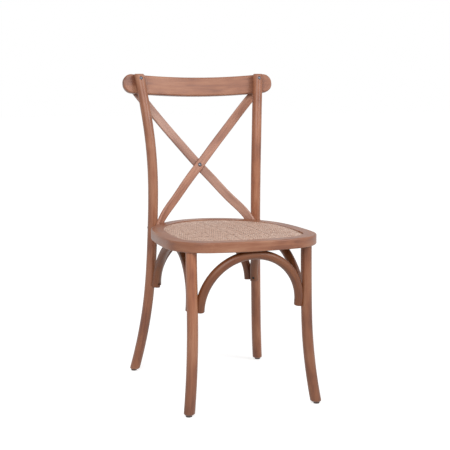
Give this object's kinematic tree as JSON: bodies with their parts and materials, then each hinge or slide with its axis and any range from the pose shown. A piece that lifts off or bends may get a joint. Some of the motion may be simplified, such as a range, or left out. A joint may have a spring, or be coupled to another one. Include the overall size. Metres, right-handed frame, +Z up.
{
  "type": "cross back dining chair",
  "caption": "Bentwood dining chair with crossed back slats, a bowed top rail, a woven rattan seat in a bent ring, and round arches braced between its legs.",
  "frame": {"origin": "on the floor under the middle of the chair", "axes": "+Z up, the chair faces -Y, X runs across the chair"},
  "size_m": [0.4608, 0.5257, 0.89],
  "materials": {
    "bentwood": "satin",
    "plywood": "matte",
    "rattan": "matte",
    "glide": "matte",
    "nickel": "satin",
    "screw_steel": "satin"
  },
  "bodies": {
    "root": {"seat_ring": "bentwood", "seat_board": "plywood", "rattan_panel": "rattan", "right_front_leg": "bentwood", "left_front_leg": "bentwood", "right_rear_post": "bentwood", "left_rear_post": "bentwood", "top_rail": "bentwood", "front_cross_slat": "bentwood", "rear_cross_slat": "bentwood", "front_arch": "bentwood", "back_arch": "bentwood", "right_side_arch": "bentwood", "left_side_arch": "bentwood", "right_front_glide": "glide", "left_front_glide": "glide", "right_rear_glide": "glide", "left_rear_glide": "glide", "rail_bolts": "nickel", "rail_nuts": "nickel", "cross_bolt": "nickel", "cross_nut": "nickel", "seat_bolts": "nickel", "barrel_nuts": "nickel", "arch_screws": "screw_steel", "slat_screws": "screw_steel", "board_screws": "screw_steel"}
  },
  "joints": []
}
